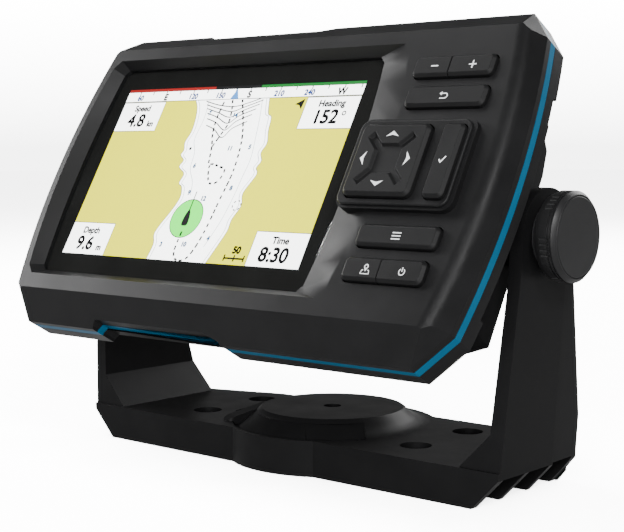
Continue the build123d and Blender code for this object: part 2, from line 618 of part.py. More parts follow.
def ring_sector(r_in, r_out, start, sweep, z_low, z_high):
    """Cutter: part of a ring about the hub axis, from start over sweep degrees."""
    with BuildPart() as sector:
        with BuildSketch(Plane.XY.offset(z_low)):
            SlotArc(arc=CenterArc((0, 0), (r_in + r_out) / 2, start, sweep, mode=Mode.PRIVATE),
                    height=r_out - r_in)
        extrude(amount=z_high - z_low)
    return sector.part


def upright(x, y, z_low, z_high, radius):
    """A vertical post in the row frame."""
    with BuildPart() as peg:
        with BuildSketch(Plane.XY.offset(z_low)):
            with Locations((x, y)):
                Circle(radius)
        extrude(amount=z_high - z_low)
    return peg.part


def base_cavity():
    """Cutter that hollows the base from below and leaves its ribs and screw bosses."""
    hollow = [(96, -1), (96, 9.3), (83.4, 9.3), (83.4, 17.2), (75.2, 9.0), (73.0, DECK_Z - DECK_T)]
    with BuildPart() as cavity:
        add(u_section(hollow, 50))
        add(base_plan(BASE_WALL, -2, 30, open_ends=True), mode=Mode.INTERSECT)
        for y in RIB_Y:
            with BuildSketch(Plane.XY.offset(-2)):
                with Locations((0, y)):
                    Rectangle(200, RIB_T)
            extrude(amount=30, mode=Mode.SUBTRACT)
        for x, y in FIXINGS:
            add(upright(x, y, -2, DECK_Z, SCREW_BOSS_R), mode=Mode.SUBTRACT)
        add(upright(0, 0, -2, DECK_Z, HUB_WALL_R), mode=Mode.SUBTRACT)
        add(upright(0, 0, -2, HUB_Z - DECK_T, HUB_POCKET_R))
        for angle in (0, 60, 120):
            with BuildSketch(Plane.XY.offset(-2)):
                Rectangle(2 * HUB_POCKET_R + 2, RIB_T, rotation=angle)
            extrude(amount=30, mode=Mode.SUBTRACT)
        add(upright(0, 0, -2, HUB_Z, 8), mode=Mode.SUBTRACT)
    return cavity.part


def make_bracket():
    """Moulded bail: hollow ribbed base, hub, fixing holes and two arms."""
    outside = [(77.4, 0), (86.4, 9.3), (ARM_FACE, PAD_FOOT), (ARM_FACE, 95), (ARM_INNER, 95),
               (ARM_INNER, PAD_FOOT), (82.6, 21.9), (72.5, DECK_Z)]
    with BuildPart() as bracket:
        add(u_section(outside, 50))
        add(arm_profile(), mode=Mode.INTERSECT)
        add(base_plan(0, 0, 100), mode=Mode.INTERSECT)
        add(hub())
        add(base_cavity(), mode=Mode.SUBTRACT)
        for x, y in FIXINGS:
            add(upright(x, y, -1, 20, HOLE_R), mode=Mode.SUBTRACT)
            add(upright(x, y, 5.0, 20, SINK_R), mode=Mode.SUBTRACT)
        add(upright(0, 0, -1, 20, CENTRE_R), mode=Mode.SUBTRACT)
        add(flank_scoop(), mode=Mode.SUBTRACT)
        add(ring_sector(36.4, 38.0, 163, 30, 8, 20), mode=Mode.SUBTRACT)
        add(flank_pocket(), mode=Mode.SUBTRACT)
        add(ridge())
        for hole in both_sides(x_disc(80, 95, STUD_R + 0.4)):
            add(hole, mode=Mode.SUBTRACT)
        for strip in both_sides(rear_strip()):
            add(strip, mode=Mode.SUBTRACT)
    save(bracket, "bracket")


def rear_strip():
    """Cutter for the rear strip of an arm, where the outer face is set in and falls away."""
    with BuildPart() as strip:
        with BuildSketch(Plane.XZ.offset(-STRIP_Y)):
            with BuildLine():
                Polyline((76.4, -1), (85.2, 8.6), (89.2, PAD_FOOT), (89.2, 95))
                Polyline((89.2, 95), (96, 95), (96, -1), (76.4, -1))
            make_face()
        with BuildSketch(Plane.XZ.offset(-ARM_FOOT_REAR - 1)):
            with BuildLine():
                Polyline((75.8, -1), (84.6, 8.6), (88.4, PAD_FOOT), (88.4, 95))
                Polyline((88.4, 95), (96, 95), (96, -1), (75.8, -1))
            make_face()
        loft(ruled=True)
    return strip.part


def turned_plane(angle):
    """Upright plane through the hub axis, with its x pointing outwards at angle."""
    across, along = cos(radians(angle)), sin(radians(angle))
    return Plane(origin=(0, 0, 0), x_dir=(across, along, 0), z_dir=(along, -across, 0))


def flank_scoop():
    """Cutter that steepens the front part of the hub's flank."""
    with BuildPart() as scoop:
        with BuildSketch(turned_plane(SCOOP_START)):
            with BuildLine():
                Polyline((25.3, 14.9), (31.6, 10.4), (33.2, 10.4), (34.2, 12.4), (30, 20), close=True)
            make_face()
        revolve(axis=Axis.Z, revolution_arc=SCOOP_SWEEP)
    return scoop.part


def flank_pocket():
    """Cutter for the pocket under the front rim of the hub."""
    with BuildPart() as pocket:
        with BuildSketch(turned_plane(POCKET_ANGLE)):
            with BuildLine():
                Polyline((23.6, 15.2), (29.4, 9.9), (33, 9.9), (31, 15.2), close=True)
            make_face()
        extrude(amount=9.5, both=True)
        fillet(pocket.edges().filter_by(Axis.Z, reverse=True).group_by(Axis.Z)[0], 0.8)
    return pocket.part


def ridge():
    """Rounded ridge that climbs from the deck to the rim of the hub."""
    foot, top = Vector(*RIDGE_FOOT, 0), Vector(*RIDGE_TOP, 0)
    along, length = (top - foot).normalized(), (top - foot).length
    with BuildPart() as bar:
        with BuildSketch(Plane(origin=foot, x_dir=along, z_dir=along.cross(Vector(0, 0, 1)))):
            with BuildLine():
                Polyline((-1.5, DECK_Z - 2), (-1.5, DECK_Z + 0.3), (1.5, DECK_Z + 1.6))
                Polyline((1.5, DECK_Z + 1.6), (length, HUB_Z - 0.2), (length, DECK_Z - 2))
                Line((length, DECK_Z - 2), (-1.5, DECK_Z - 2))
            make_face()
        extrude(amount=2.8, both=True)
        fillet(bar.edges().filter_by(Axis.Z).sort_by_distance((*RIDGE_FOOT, 0))[:2], 2.6)
    return bar.part


# ---------------------------------------------------------------- knobs
def knob_grip():
    """Ribbed barrel of a knob on the right side, with two fine rings near its face."""
    axis_plane = Plane(origin=(0, PIVOT_Y, PIVOT_Z), x_dir=(1, 0, 0), z_dir=(0, -1, 0))
    knob_axis = Axis((0, PIVOT_Y, PIVOT_Z), (1, 0, 0))
    with BuildPart() as grip:
        with BuildSketch(axis_plane):
            with BuildLine():
                Polyline((KNOB_BACK, STUD_R + 0.02), (KNOB_BACK, 10.2), (KNOB_BACK + 1.6, 12.4),
                         (KNOB_BACK + 3.4, KNOB_R), (KNOB_FACE - 1.1, KNOB_R), (KNOB_FACE, KNOB_R - 1.1),
                         (KNOB_FACE, CAP_R + 0.1), (KNOB_FACE - 1.3, CAP_R + 0.1),
                         (KNOB_FACE - 1.3, STUD_R + 0.02), close=True)
            make_face()
        revolve(axis=knob_axis)
        groove = x_disc(KNOB_BACK + 3.6, KNOB_FACE - 1.9, 0.42)
        for group in range(6):
            for step in range(4):
                angle = 60 * group + 7 * step
                spot = Vector(0, KNOB_R + 0.1, 0).rotate(Axis.X, angle)
                add(groove.translate(spot), mode=Mode.SUBTRACT)
        for x in (KNOB_FACE - 1.75, KNOB_FACE - 2.75):
            add(x_disc(x, x + 0.35, KNOB_R + 1, KNOB_R - 0.3), mode=Mode.SUBTRACT)
    return grip.part


def knob_cap():
    """Flat disc let into the knob's face, with a rounded rim."""
    with BuildPart() as cap:
        add(x_disc(KNOB_FACE - 1.25, KNOB_FACE + 0.1, CAP_R))
        fillet(cap.faces().sort_by(Axis.X)[-1].edges(), 0.4)
    return cap.part


def make_knobs():
    """Both clamping knobs: ribbed grip, flat cap, metal stud and a captive washer."""
    pieces = {
        "knob_grip": knob_grip(),
        "knob_cap": knob_cap(),
        "knob_stud": x_disc(BOSS_FACE - INSERT_L + 2, KNOB_FACE - 1.3, STUD_R),
        "knob_washer": x_disc(ARM_FACE + 0.1, ARM_FACE + 0.1 + WASHER_T, WASHER_R, STUD_R + 0.05),
    }
    for name, solid in pieces.items():
        save_both_sides(name, solid)


make_front_bezel()
make_cover_glass()
make_display_stack()
make_accent_band()
make_housing_gasket()
make_keys()
make_direction_pad()
make_keypad_inside()
make_electronics()
make_rear_housing()
make_rear_fittings()
make_sockets()
make_bracket()
make_knobs()
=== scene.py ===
import json
import math

import bmesh
import bpy
from mathutils import Matrix, Vector


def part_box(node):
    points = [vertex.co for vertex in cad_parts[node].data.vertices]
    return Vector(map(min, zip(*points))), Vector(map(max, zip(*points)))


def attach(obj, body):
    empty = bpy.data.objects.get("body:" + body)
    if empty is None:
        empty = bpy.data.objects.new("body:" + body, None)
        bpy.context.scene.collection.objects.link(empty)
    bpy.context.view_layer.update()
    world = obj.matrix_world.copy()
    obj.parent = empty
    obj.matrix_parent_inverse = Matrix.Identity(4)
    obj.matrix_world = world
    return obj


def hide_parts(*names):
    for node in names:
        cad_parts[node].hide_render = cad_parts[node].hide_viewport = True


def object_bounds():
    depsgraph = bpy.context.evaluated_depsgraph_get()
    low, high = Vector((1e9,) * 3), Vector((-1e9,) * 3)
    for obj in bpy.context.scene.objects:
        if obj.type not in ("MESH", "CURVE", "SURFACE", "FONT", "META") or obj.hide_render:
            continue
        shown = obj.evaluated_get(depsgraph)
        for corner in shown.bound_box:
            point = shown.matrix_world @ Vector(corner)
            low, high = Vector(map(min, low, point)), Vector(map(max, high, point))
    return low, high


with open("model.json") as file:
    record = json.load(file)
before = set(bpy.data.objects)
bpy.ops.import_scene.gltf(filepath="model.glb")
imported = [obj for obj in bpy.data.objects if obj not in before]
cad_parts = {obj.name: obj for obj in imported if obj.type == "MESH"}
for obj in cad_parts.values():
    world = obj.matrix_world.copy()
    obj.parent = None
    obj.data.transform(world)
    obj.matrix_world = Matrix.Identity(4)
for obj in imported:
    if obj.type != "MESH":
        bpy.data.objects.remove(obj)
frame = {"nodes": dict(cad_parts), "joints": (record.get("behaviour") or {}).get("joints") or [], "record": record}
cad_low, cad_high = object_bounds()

MM = 0.001
nodes, joints = frame["nodes"], {j["name"]: j for j in frame["joints"]}


# ---------------------------------------------------------------- the head's own frame
# x right, y up the face, z out of the face; z = 0 is the front of the glass. Values in millimetres.
SCREEN_X, SCREEN_Y, SCREEN_MID_Z = -21.85, 1.2, -2.8    # middle of the display panel
SCREEN_W, SCREEN_H = 108.0, 64.8
PICTURE_Z, LAYER_STEP = -1.79, 0.008
PICTURE_DX, PICTURE_DY = -1.66, 0.78    # the lit area's offset on its panel
PRINT_Z = -1.68                         # black print, just in front of the glass's back face
GLASS_LEFT, GLASS_RIGHT, GLASS_TOP, GLASS_BOTTOM = -81.85, 36.25, 41.4, -38.1
GLASS_BOW = 2.6                         # how far the glass's sides bulge

OUT_OF_FACE = -Vector(joints["menu_key_press"]["axis"])
UP_FACE = OUT_OF_FACE.cross(Vector((1, 0, 0)))


def middle(node):
    """Middle of a CAD node's box."""
    low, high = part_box(node)
    return (low + high) / 2


FACE_ORIGIN = (middle("lcd_panel") - OUT_OF_FACE * SCREEN_MID_Z * MM
               - UP_FACE * SCREEN_Y * MM - Vector((SCREEN_X * MM, 0, 0)))


def on_face(x, y, z=0.0):
    """A point of the head's frame, in millimetres, as a point of the row frame in metres."""
    return FACE_ORIGIN + (Vector((x, 0, 0)) + UP_FACE * y + OUT_OF_FACE * z) * MM


# ---------------------------------------------------------------- materials
NOISE_ROUGHNESS = 0.55
CLOUD_SIZE, WAVE_SIZE = 14.0, 5.0       # millimetres: cloudy colour and gloss, uneven moulding
WAVE_DEPTH, WAVE_STRENGTH, GRAIN_STRENGTH = 0.05, 0.15, 0.5
METAL_GRAIN = 1.2


def new_material(name):
    """An empty node material, with its tree, Principled node and a mapping of the row frame."""
    mat = bpy.data.materials.new(name)
    mat.use_nodes = True
    tree = mat.node_tree
    return mat, tree, tree.nodes["Principled BSDF"], tree.nodes.new("ShaderNodeTexCoord").outputs["Object"]


def noise(tree, where, size, detail=3.0):
    """Noise with features of about the given size in millimetres, from 0 to 1."""
    node = tree.nodes.new("ShaderNodeTexNoise")
    node.inputs["Scale"].default_value = 1 / (size * MM)
    node.inputs["Detail"].default_value = detail
    node.inputs["Roughness"].default_value = NOISE_ROUGHNESS
    tree.links.new(where, node.inputs["Vector"])
    return node.outputs["Fac"]


def ramp(tree, value, low, high, out_low, out_high):
    """A value from low..high turned into out_low..out_high."""
    node = tree.nodes.new("ShaderNodeMapRange")
    for socket, number in (("From Min", low), ("From Max", high), ("To Min", out_low), ("To Max", out_high)):
        node.inputs[socket].default_value = number
    tree.links.new(value, node.inputs["Value"])
    return node.outputs["Result"]


def blend_colour(tree, factor, first, second):
    """Mix of two colours, or of sockets that carry them."""
    node = tree.nodes.new("ShaderNodeMix")
    node.data_type = "RGBA"
    tree.links.new(factor, node.inputs[0])
    for socket, colour in ((node.inputs[6], first), (node.inputs[7], second)):
        if isinstance(colour, bpy.types.NodeSocket):
            tree.links.new(colour, socket)
        else:
            socket.default_value = (*colour, 1)
    return node.outputs[2]


def bump(tree, shader, layers):
    """Chain of bumps: (height socket, depth in millimetres, strength) each."""
    last = None
    for height, depth, strength in layers:
        node = tree.nodes.new("ShaderNodeBump")
        node.inputs["Strength"].default_value = strength
        node.inputs["Distance"].default_value = depth * MM
        tree.links.new(height, node.inputs["Height"])
        if last:
            tree.links.new(last, node.inputs["Normal"])
        last = node.outputs["Normal"]
    tree.links.new(last, shader.inputs["Normal"])


def moulded(name, dark, light, rough, grain=0.35, depth=0.03, specular=0.3):
    """Moulded plastic: eroded grain, faint cloudy colour and uneven gloss."""
    mat, tree, shader, where = new_material(name)
    fine, broad = noise(tree, where, grain), noise(tree, where, CLOUD_SIZE, 4.0)
    colour = blend_colour(tree, ramp(tree, broad, 0.3, 0.7, 0, 1), dark, light)
    tree.links.new(colour, shader.inputs["Base Color"])
    tree.links.new(ramp(tree, broad, 0.25, 0.75, rough - 0.05, rough + 0.06), shader.inputs["Roughness"])
    waves = noise(tree, where, WAVE_SIZE)
    bump(tree, shader, [(waves, WAVE_DEPTH, WAVE_STRENGTH), (fine, depth, GRAIN_STRENGTH)])
    shader.inputs["Specular IOR Level"].default_value = specular
    return mat


def metal(name, colour, rough):
    """Plain turned or rolled metal with fine unevenness."""
    mat, tree, shader, where = new_material(name)
    fine = noise(tree, where, METAL_GRAIN, 5.0)
    tint = blend_colour(tree, fine, [c * 0.85 for c in colour], colour)
    tree.links.new(tint, shader.inputs["Base Color"])
    tree.links.new(ramp(tree, fine, 0.3, 0.7, rough - 0.06, rough + 0.08), shader.inputs["Roughness"])
    bump(tree, shader, [(noise(tree, where, 0.3), 0.01, 0.3)])
    shader.inputs["Metallic"].default_value = 1.0
    return mat


def clear_glass(name):
    """Thin flat glass: see-through, with a mirror gloss that follows Fresnel and faint smears."""
    mat, tree, shader, where = new_material(name)
    tree.nodes.remove(shader)
    through = tree.nodes.new("ShaderNodeBsdfTransparent")
    gloss = tree.nodes.new("ShaderNodeBsdfGlossy")
    fresnel = tree.nodes.new("ShaderNodeFresnel")
    mix = tree.nodes.new("ShaderNodeMixShader")
    through.inputs["Color"].default_value = (0.97, 0.98, 0.975, 1)
    fresnel.inputs["IOR"].default_value = 1.45
    front_only = tree.nodes.new("ShaderNodeMath")
    front_only.operation = "MULTIPLY"
    facing = ramp(tree, tree.nodes.new("ShaderNodeNewGeometry").outputs["Backfacing"], 0, 1, 1, 0)
    tree.links.new(fresnel.outputs[0], front_only.inputs[0])
    tree.links.new(facing, front_only.inputs[1])
    tree.links.new(ramp(tree, noise(tree, where, 22.0), 0.35, 0.75, 0.03, 0.09), gloss.inputs["Roughness"])
    tree.links.new(front_only.outputs[0], mix.inputs[0])
    tree.links.new(through.outputs[0], mix.inputs[1])
    tree.links.new(gloss.outputs[0], mix.inputs[2])
    tree.links.new(mix.outputs[0], tree.nodes["Material Output"].inputs["Surface"])
    return mat


def lit(name, colour):
    """One colour of the lit picture, a little dimmer towards the panel's corners, with faint mottle."""
    mat, tree, shader, where = new_material(name)
    spot = tree.nodes.new("ShaderNodeVectorMath")
    spot.operation = "DISTANCE"
    spot.inputs[1].default_value = on_face(SCREEN_X, SCREEN_Y, PICTURE_Z)
    tree.links.new(where, spot.inputs[0])
    fall = ramp(tree, spot.outputs["Value"], 0.03, 0.075, 1.0, 0.93)
    mottle = ramp(tree, noise(tree, where, 1.1), 0.3, 0.7, 0.97, 1.03)
    product = tree.nodes.new("ShaderNodeMath")
    product.operation = "MULTIPLY"
    tree.links.new(fall, product.inputs[0])
    tree.links.new(mottle, product.inputs[1])
    scaled = tree.nodes.new("ShaderNodeVectorMath")
    scaled.operation = "SCALE"
    scaled.inputs[0].default_value = colour
    tree.links.new(product.outputs[0], scaled.inputs["Scale"])
    tree.links.new(scaled.outputs[0], shader.inputs["Emission Color"])
    shader.inputs["Base Color"].default_value = (0.01, 0.01, 0.01, 1)
    shader.inputs["Roughness"].default_value = 0.4
    shader.inputs["Specular IOR Level"].default_value = 0.0
    shader.inputs["Emission Strength"].default_value = 1.0
    return mat


# name, darker and lighter colour, roughness, grain size and depth in millimetres, specular level
HOUSING = moulded("housing_plastic", (0.0048, 0.0048, 0.005), (0.0062, 0.0062, 0.0065), 0.42, specular=0.08)
BRACKET = moulded("bracket_plastic", (0.0044, 0.0044, 0.0046), (0.006, 0.006, 0.0062), 0.4, 0.5, 0.02, 0.04)
KNOB = moulded("knob_plastic", (0.006, 0.006, 0.0063), (0.008, 0.008, 0.0083), 0.42, specular=0.2)
ACCENT = moulded("accent_plastic", (0.0005, 0.058, 0.115), (0.0008, 0.068, 0.13), 0.4, 0.6, 0.01, 0.06)
KEYS = moulded("key_rubber", (0.0048, 0.0048, 0.005), (0.0064, 0.0064, 0.0066), 0.5, 0.25, 0.015, 0.08)
SEAL = moulded("seal_rubber", (0.012, 0.012, 0.012), (0.018, 0.018, 0.018), 0.75, 0.4, 0.02, 0.2)
CONNECTOR = moulded("connector_plastic", (0.014, 0.014, 0.015), (0.02, 0.02, 0.021), 0.42)
BOARD = moulded("circuit_board", (0.01, 0.09, 0.03), (0.015, 0.12, 0.04), 0.35, 1.5, 0.02, 0.5)
CERAMIC = moulded("ceramic", (0.5, 0.43, 0.31), (0.58, 0.5, 0.37), 0.6, 0.6, 0.02)
RIBBON = moulded("ribbon_film", (0.4, 0.13, 0.015), (0.5, 0.17, 0.02), 0.3, 2.0, 0.01, 0.5)
STEEL = metal("steel", (0.5, 0.5, 0.52), 0.32)
BRASS = metal("brass", (0.68, 0.5, 0.22), 0.3)
GLASS = clear_glass("cover_glass")
PRINT = moulded("display", (0.006, 0.006, 0.0058), (0.0075, 0.0075, 0.0072), 0.6, 12.0, 0.0005, 0.0)
LEGEND = moulded("legend_print", (0.5, 0.51, 0.51), (0.6, 0.61, 0.61), 0.55, 0.2, 0.01, 0.2)

BY_SLOT = {
    "housing_plastic": HOUSING, "bracket_plastic": BRACKET, "knob_plastic": KNOB, "accent_plastic": ACCENT,
    "key_rubber": KEYS, "seal_rubber": SEAL, "connector_plastic": CONNECTOR, "circuit_board": BOARD,
    "ceramic": CERAMIC, "ribbon_film": RIBBON, "steel": STEEL, "brass": BRASS, "cover_glass": GLASS,
    "display": PRINT,
}
for part in frame["record"]["subparts"]:
    finish = BY_SLOT[part["material_slot"]]
    data = nodes[part["node"]].data
    data.materials.clear()
    data.materials.append(finish)


# ---------------------------------------------------------------- pieces from the CAD shapes, edges softened
WELD, FLAT_ENOUGH = 0.002 * MM, math.radians(0.4)
SHARPEST, SHADING_MARGIN = 24.0, 8.0    # degrees: edges over the first are softened
FLATNESS_WEIGHT = 90


def body_of(node):
    """Name of the body that a CAD node belongs to."""
    return next(b for b, members in frame["record"]["behaviour"]["bodies"].items() if node in members)


def soften(node, width):
    """A copy of a CAD node whose sharp edges are rounded by width millimetres; it stands for the node."""
    source = nodes[node]
    bm = bmesh.new()
    bm.from_mesh(source.data)
    bmesh.ops.remove_doubles(bm, verts=bm.verts, dist=WELD)
    bmesh.ops.dissolve_limit(bm, angle_limit=FLAT_ENOUGH, verts=bm.verts, edges=bm.edges)
    edges = [e for e in bm.edges if len(e.link_faces) == 2 and e.calc_face_angle(0) > math.radians(SHARPEST)]
    bmesh.ops.bevel(bm, geom=edges, offset=width * MM, segments=2, profile=0.5, affect="EDGES",
                    clamp_overlap=True, loop_slide=True)
    mesh = bpy.data.meshes.new(node + "_finished")
    bm.to_mesh(mesh)
    bm.free()
    mesh.shade_smooth()
    mesh.set_sharp_from_angle(angle=math.radians(SHARPEST + SHADING_MARGIN))
    mesh.materials.append(source.data.materials[0])
    piece = bpy.data.objects.new(node + "_finished", mesh)
    bpy.context.scene.collection.objects.link(piece)
    settle = piece.modifiers.new("flat faces stay flat", "WEIGHTED_NORMAL")
    settle.keep_sharp, settle.weight = True, FLATNESS_WEIGHT
    piece.data = bpy.data.meshes.new_from_object(piece.evaluated_get(bpy.context.evaluated_depsgraph_get()))
    piece.modifiers.clear()
    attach(piece, body_of(node))
    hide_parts(node)


# ---------------------------------------------------------------- flat artwork
def smooth(points, steps=5, closed=False):
    """Points of a Catmull-Rom curve through the given ones."""
    count, result = len(points), []
    for i in range(count if closed else count - 1):
        if closed:
            p = [Vector(points[(i + k) % count]) for k in (-1, 0, 1, 2)]
        else:
            p = [Vector(points[min(max(i + k, 0), count - 1)]) for k in (-1, 0, 1, 2)]
        for s in range(steps):
            t = s / steps
            square, cube = 2 * p[0] - 5 * p[1] + 4 * p[2] - p[3], 3 * p[1] - p[0] - 3 * p[2] + p[3]
            result.append(0.5 * (2 * p[1] + (p[2] - p[0]) * t + square * t ** 2 + cube * t ** 3))
    return result if closed else result + [Vector(points[-1])]


ART_WELD = 0.0005 * MM
CAPITAL_HEIGHT = 0.7        # of the font's size
BOLD_SHIFTS = [(0, 0)] + [(math.cos(k * math.tau / 8) / 2, math.sin(k * math.tau / 8) / 2) for k in range(8)]


class Art:
    """Flat shapes of one material in a plane parallel to the face, gathered into one mesh."""

    def __init__(self, name, material, z, centre=(0.0, 0.0)):
        self.name, self.material, self.z, self.centre = name, material, z, Vector(centre)
        self.verts, self.faces = [], []

    def area(self, points):
        """A filled outline."""
        start = len(self.verts)
        self.verts += [on_face(*(self.centre + Vector(p)), self.z) for p in points]
        self.faces.append(range(start, len(self.verts)))

    def box(self, left, bottom, right, top):
        """A filled rectangle."""
        self.area([(left, bottom), (right, bottom), (right, top), (left, top)])

    def disc(self, x, y, radius, steps=32):
        """A filled circle."""
        self.area([(x + radius * math.cos(a), y + radius * math.sin(a))
                   for a in (math.tau * k / steps for k in range(steps))])

    def line(self, points, width, dash=0.0, gap=0.0):
        """A stroke along points, solid or dashed."""
        points = [Vector(p) for p in points]
        travelled = 0.0
        for a, b in zip(points, points[1:]):
            length = (b - a).length
            if length == 0:
                continue
            shown = not dash or (travelled + length / 2) % (dash + gap) < dash
            travelled += length
            if shown:
                side = Vector((a.y - b.y, b.x - a.x)).normalized() * width / 2
                self.area([a - side, b - side, b + side, a + side])

    def arc(self, x, y, radius, width, start=0.0, sweep=360.0, steps=36):
        """A stroke along part of a circle, angles in degrees."""
        for k in range(steps):
            a, b = (math.radians(start + sweep * (k + s) / steps) for s in (0, 1))
            inner, outer = radius - width / 2, radius + width / 2
            corners = [(inner, a), (outer, a), (outer, b), (inner, b)]
            self.area([(x + r * math.cos(t), y + r * math.sin(t)) for r, t in corners])

    def text(self, words, x, y, height, bold):
        """Words centred on a point, with capitals of that height and strokes widened by bold."""
        curve = bpy.data.curves.new("words", "FONT")
        curve.body, curve.align_x, curve.align_y = words, "CENTER", "CENTER"
        curve.size = height / CAPITAL_HEIGHT
        holder = bpy.data.objects.new("words", curve)
        bpy.context.scene.collection.objects.link(holder)
        mesh = bpy.data.meshes.new_from_object(holder.evaluated_get(bpy.context.evaluated_depsgraph_get()))
        for dx, dy in BOLD_SHIFTS:
            for polygon in mesh.polygons:
                corners = [mesh.vertices[i].co for i in polygon.vertices]
                self.area([(x + c.x + dx * bold, y + c.y + dy * bold) for c in corners])
        bpy.data.objects.remove(holder)
        bpy.data.curves.remove(curve)
        bpy.data.meshes.remove(mesh)

    def make(self, body, slot):
        """The finished piece, riding on a body."""
        mesh = bpy.data.meshes.new(self.name)
        mesh.from_pydata(self.verts, [], [list(f) for f in self.faces])
        bm = bmesh.new()
        bm.from_mesh(mesh)
        bmesh.ops.remove_doubles(bm, verts=bm.verts, dist=ART_WELD)
        for face in bm.faces:
            face.normal_update()
            if face.normal.dot(OUT_OF_FACE) < 0:
                face.normal_flip()
        bm.to_mesh(mesh)
        bm.free()
        mesh.materials.append(self.material)
        piece = bpy.data.objects.new(self.name, mesh)
        bpy.context.scene.collection.objects.link(piece)
        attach(piece, body)


def picture_layer(name, colour, level):
    """A layer of the lit picture, in millimetres from the middle of the lit area."""
    centre = (SCREEN_X + PICTURE_DX, SCREEN_Y + PICTURE_DY)
    return Art("picture_" + name, lit("lit_" + name, colour), PICTURE_Z + level * LAYER_STEP, centre)


# ---------------------------------------------------------------- the lit chart
HALF_SW, HALF_SH = SCREEN_W / 2, SCREEN_H / 2
CHART_TOP, TAPE_TOP = 27.3, 31.2    # the compass tape lies between

# emitted colours
WHITE, LAND_YELLOW, HARBOUR_GREEN = (6.6, 6.6, 6.6), (2.6, 2.47, 0.0), (0.2, 3.3, 0.22)
SHALLOW_BLUE, SHORE_GREY, CONTOUR_GREY = (1.1, 1.3, 1.5), (0.55, 0.56, 0.5), (0.05, 0.052, 0.055)
TRACK_DARK, BOAT_DARK, DEPTH_BLUE = (0.005, 0.005, 0.006), (0.02, 0.02, 0.022), (0.05, 0.25, 0.6)
PORT_RED, CENTRE_BLACK, STARBOARD_GREEN = (0.75, 0.02, 0.015), (0.01, 0.01, 0.012), (0.01, 0.42, 0.06)
FRAME_GREY, INK = (0.2, 0.21, 0.23), (0.01, 0.01, 0.012)
BEARING_BLUE, POINTER_BLUE = (0.03, 0.12, 0.6), (0.2, 0.75, 1.9)

# positions in millimetres from the middle of the lit area
LEFT_SHORE = [(-18.5, 27.3), (-16.5, 24.5), (-15, 20), (-14.5, 15), (-15.5, 11), (-14.5, 8), (-15, 6),
              (-12.7, 4), (-13.5, 1.5), (-10, -1), (-10.5, -4.5), (-8.5, -6), (-7.3, -10), (-9, -15),
              (-11.5, -20), (-12.5, -23.5), (-11, -27), (-11.5, -32.4)]
RIGHT_SHORE = [(15.5, 27.3), (17.5, 21.5), (19.5, 20), (20.5, 15), (22, 10.5), (21, 7), (22.5, 4),
               (21.5, 1.5), (22.7, -1), (20, -7.5), (21.3, -12), (19.5, -17), (19.5, -21), (17.5, -27),
               (15.5, -32.4)]
SHALLOWS = [[(-12, 27), (-11, 20), (-11.5, 12), (-9, 7), (-8, 1), (-4.5, -4), (-3, -9)],
            [(12.5, 27), (14.5, 20), (16, 13), (17.5, 5), (17, -2), (16.5, -9), (15, -18), (12, -27)]]
# depth contours: height of the ends and of the dip in the middle
CONTOURS = [(26.6, 24.4), (25.2, 22.5), (23.7, 20.3), (21.9, 18.0), (19.8, 15.4), (17.2, 12.6)]
MAIN_TRACK = [(-0.3, -22), (-0.3, -29), (2, -32), (6, -31.5), (8.5, -27), (10, -20), (11, -10), (12, -1),
              (11.5, 6), (10.3, 12), (8, 18), (5, 24), (3.5, 27)]
SIDE_TRACKS = [[(-0.5, 3), (-2, 9), (-4, 14), (-5, 20), (-4.5, 27)],
               [(-2, 9), (0, 14), (1.3, 18), (0.5, 23), (-1, 27)]]
LOOP_TRACK = [(0.5, 2.5), (5, 1.8), (8, 0.5), (7, -3.5), (4, -4.5), (2, -2.5)]
DASH, GAP, TRACK_WIDTH = 1.5, 1.0, 0.78
HARBOUR_X, HARBOUR_Y, HARBOUR_RADIUS = -0.6, -17.3, 6.9
NORTH_ARROW = [(31.3, 26.6), (30.9, 22.6), (29.6, 24.2), (27.7, 24.6)]
SCALE_LEFT, SCALE_RIGHT, SCALE_Y = 22.3, 31, -30.2
BOAT = [(-0.6, -13.9), (0.5, -16.2), (0.75, -19.4), (-0.6, -19.9), (-1.95, -19.4), (-1.7, -16.2)]
SOUNDINGS = [("6", -6.5, 2), ("9", -4, -8), ("12", 3.5, -10), ("8", 14, -6), ("5", 15.2, 9), ("11", 6.6, 8.5),
             ("7", -9.2, 22), ("14", 3, 21), ("4", 12.6, -24), ("10", 2.8, -26.5), ("3", -7.5, -27)]


